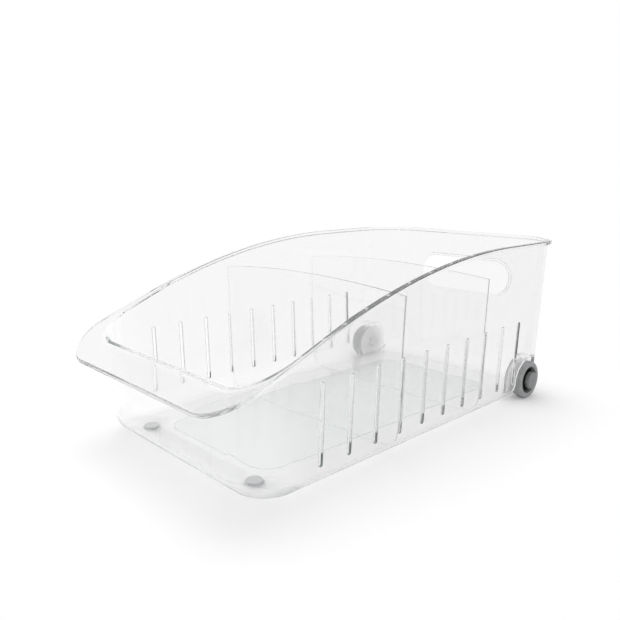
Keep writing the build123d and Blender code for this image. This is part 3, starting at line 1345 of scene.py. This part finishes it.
def foot_profile():
    """Half section of a foot, from the ground up: pad, stem through the floor, and head."""
    pad_top = ground_clearance - foot_gap
    head_under = floor_top + foot_gap
    head_top = floor_top + foot_head_height
    return softened(
        [
            (0, cap_radius),
            (0, foot_pad_radius),
            (pad_top, foot_pad_radius),
            (pad_top, foot_stem_radius),
            (head_under, foot_stem_radius),
            (head_under, foot_head_radius),
            (head_top, foot_head_radius),
            (head_top, cap_radius),
        ],
        [
            0,
            foot_pad_rounding,
            foot_pad_top_rounding,
            0,
            0,
            foot_head_under_rounding,
            foot_head_rounding,
            0,
        ],
        closed=False,
    )


def add_tub(material):
    """The tub: its shell with the wheel housings and bosses joined on and the pockets cut."""
    points, faces, shares = tub_surface()
    tub = add_piece("bin_shell", points, faces, material, "bin", "bin_body")
    for name, values in shares.items():
        tub.data.attributes.new(name, "FLOAT", "POINT").data.foreach_set("value", values)
    housing = arch_block(
        pocket_radius + pocket_wall,
        ground_clearance + floor_thickness / 2,
        pocket_back_x - pocket_wall,
        wall / 2,
        housing_end_rounding,
    )
    combine(tub, "UNION", *both_sides(*housing))
    pocket = arch_block(
        pocket_radius, -bottom_radius, pocket_back_x, 0, pocket_end_rounding, pocket_edge_flare
    )
    combine(tub, "DIFFERENCE", *both_sides(*pocket))
    boss_points, boss_faces = capped(boss_profile(), boss_steps)
    combine(tub, "UNION", *both_sides(on_axle(boss_points, 1), boss_faces))
    tub.data.shade_smooth()
    tub.data.set_sharp_from_angle(angle=math.radians(shell_sharp_angle))
    finish_housings(tub)
    weigh_normals(tub)


def add_dividers(material):
    """Both dividers, with their edges lightly rounded."""
    for name, number, body in (
        ("front_divider", front_divider_slot, "front_panel"),
        ("rear_divider", rear_divider_slot, "rear_panel"),
    ):
        points, faces = divider_sheet(number)
        sheet = add_piece(f"{name}_sheet", points, faces, material, body, name)
        round_edges(sheet, divider_edge_rounding)


def add_wheels(tyre_material, hub_material, pin_material):
    """Tyre, hub and axle pin on each side, turned about the axle."""
    for side, name in ((1, "right"), (-1, "left")):
        wheel = f"{name}_wheel"
        for part, body, (points, faces), material, slot in (
            ("tyre", wheel, looped(tyre_profile()), tyre_material, "grey_rubber"),
            ("wheel_hub", wheel, looped(hub_profile()), hub_material, "dark_plastic"),
            ("axle_pin", "bin", capped(pin_profile()), pin_material, "grey_plastic"),
        ):
            add_piece(
                f"{name}_{part}_turned",
                on_axle(points, side),
                facing(faces, side),
                material,
                body,
                f"{name}_{part}",
            )


def add_feet(material):
    """Both front feet, turned about upright axes."""
    for side, name in ((1, "right"), (-1, "left")):
        points, faces = capped(foot_profile())
        upright = points[:, [2, 1, 0]]
        place = np.array([side * foot_spacing / 2, front_y + foot_inset, 0])
        add_piece(
            f"{name}_foot_turned",
            upright + place,
            [face[::-1] for face in faces],
            material,
            "bin",
            f"{name}_front_foot",
        )


def add_camera():
    """The photograph's camera: azimuth about Z, then down by the pitch."""
    data = bpy.data.cameras.new("camera")
    data.sensor_width = sensor_width
    data.lens = focal_length_in_frame_widths * sensor_width
    camera = bpy.data.objects.new("camera", data)
    camera.location = camera_place
    camera.rotation_euler = (
        math.radians(90 - camera_down_angle),
        0.0,
        math.radians(camera_azimuth),
    )
    bpy.context.scene.collection.objects.link(camera)
    bpy.context.scene.camera = camera


def looked_at(tree):
    """1 for rays from the camera, off gloss or through clear plastic, and 0 for other light."""
    rays = tree.nodes.new("ShaderNodeLightPath").outputs
    seen = sum_of(tree, rays["Is Camera Ray"], rays["Is Glossy Ray"])
    return sum_of(tree, seen, rays["Is Transmission Ray"])


def add_floor():
    """A wide pale floor, whose glow makes the open floor white where it is looked at."""
    reach = floor_reach_metres
    mesh = bpy.data.meshes.new("floor")
    corners = [(-reach, -reach, 0), (reach, -reach, 0), (reach, reach, 0), (-reach, reach, 0)]
    mesh.from_pydata(corners, [], [(0, 1, 2, 3)])
    floor = bpy.data.objects.new("floor", mesh)
    bpy.context.scene.collection.objects.link(floor)
    material, tree, output = new_material("pale_floor")
    pale = (floor_albedo, floor_albedo, floor_albedo, 1.0)
    diffuse = add_node(tree, "ShaderNodeBsdfDiffuse", {"Color": pale})
    strength = between(tree, looked_at(tree), 0.0, 1 - floor_albedo, 0.0, 1.0)
    glow = add_node(tree, "ShaderNodeEmission", {"Strength": strength})
    add = add_node(tree, "ShaderNodeAddShader", {0: diffuse.outputs[0], 1: glow.outputs[0]})
    tree.links.new(add.outputs[0], output.inputs["Surface"])
    mesh.materials.append(material)


def add_lamp():
    """A wide soft lamp, whose light on level ground is what the sky leaves of 1."""
    data = bpy.data.lights.new("soft_lamp", "SUN")
    tilt = math.radians(lamp_tilt)
    data.energy = (1 - sky_share) * math.pi / math.cos(tilt)
    data.angle = math.radians(lamp_softness)
    lamp = bpy.data.objects.new("soft_lamp", data)
    lamp.rotation_euler = (tilt, 0.0, math.radians(lamp_turn))
    lamp.visible_glossy = False
    lamp.visible_transmission = False
    bpy.context.scene.collection.objects.link(lamp)


def add_world():
    """Even white sky: full strength where it is looked at, and the sky's share as light."""
    world = bpy.data.worlds.new("studio")
    world.use_nodes = True
    tree = world.node_tree
    tree.nodes.clear()
    output = tree.nodes.new("ShaderNodeOutputWorld")
    background = tree.nodes.new("ShaderNodeBackground")
    background.inputs["Color"].default_value = (1, 1, 1, 1)
    strength = between(tree, looked_at(tree), sky_share, 1.0, 0.0, 1.0)
    tree.links.new(strength, background.inputs["Strength"])
    tree.links.new(background.outputs[0], output.inputs["Surface"])
    world.cycles.sampling_method = "NONE"
    bpy.context.scene.world = world


bin_clear = clear_plastic("clear_bin_plastic", bin_tint, is_bin=True)
divider_clear = clear_plastic("clear_divider_plastic", divider_tint, is_bin=False)
tyre_grey = moulded(
    "grey_tyre_rubber",
    shades=(0.29, 0.35),
    grain_size=0.5,
    grain_depth=0.03,
    roughness=(0.55, 0.75),
)
hub_dark = moulded(
    "dark_hub_plastic",
    shades=(0.03, 0.045),
    grain_size=0.4,
    grain_depth=0.02,
    roughness=(0.35, 0.55),
)
pin_grey = moulded(
    "grey_pin_plastic",
    shades=(0.18, 0.215),
    grain_size=0.4,
    grain_depth=0.012,
    roughness=(0.32, 0.48),
    ring_width=1.6,
)
foot_grey = moulded(
    "pale_grey_foot_rubber",
    shades=(0.46, 0.52),
    grain_size=0.5,
    grain_depth=0.02,
    roughness=(0.5, 0.7),
)

add_tub(bin_clear)
add_dividers(divider_clear)
add_wheels(tyre_grey, hub_dark, pin_grey)
add_feet(foot_grey)
add_camera()
add_floor()
add_lamp()
add_world()
scene = bpy.context.scene
scene.view_settings.view_transform = "Standard"
scene.cycles.max_bounces = light_bounces
scene.cycles.transmission_bounces = light_bounces
scene.cycles.glossy_bounces = light_bounces
# The default filter takes away light that has passed through clear plastic
scene.cycles.blur_glossy = 0.0
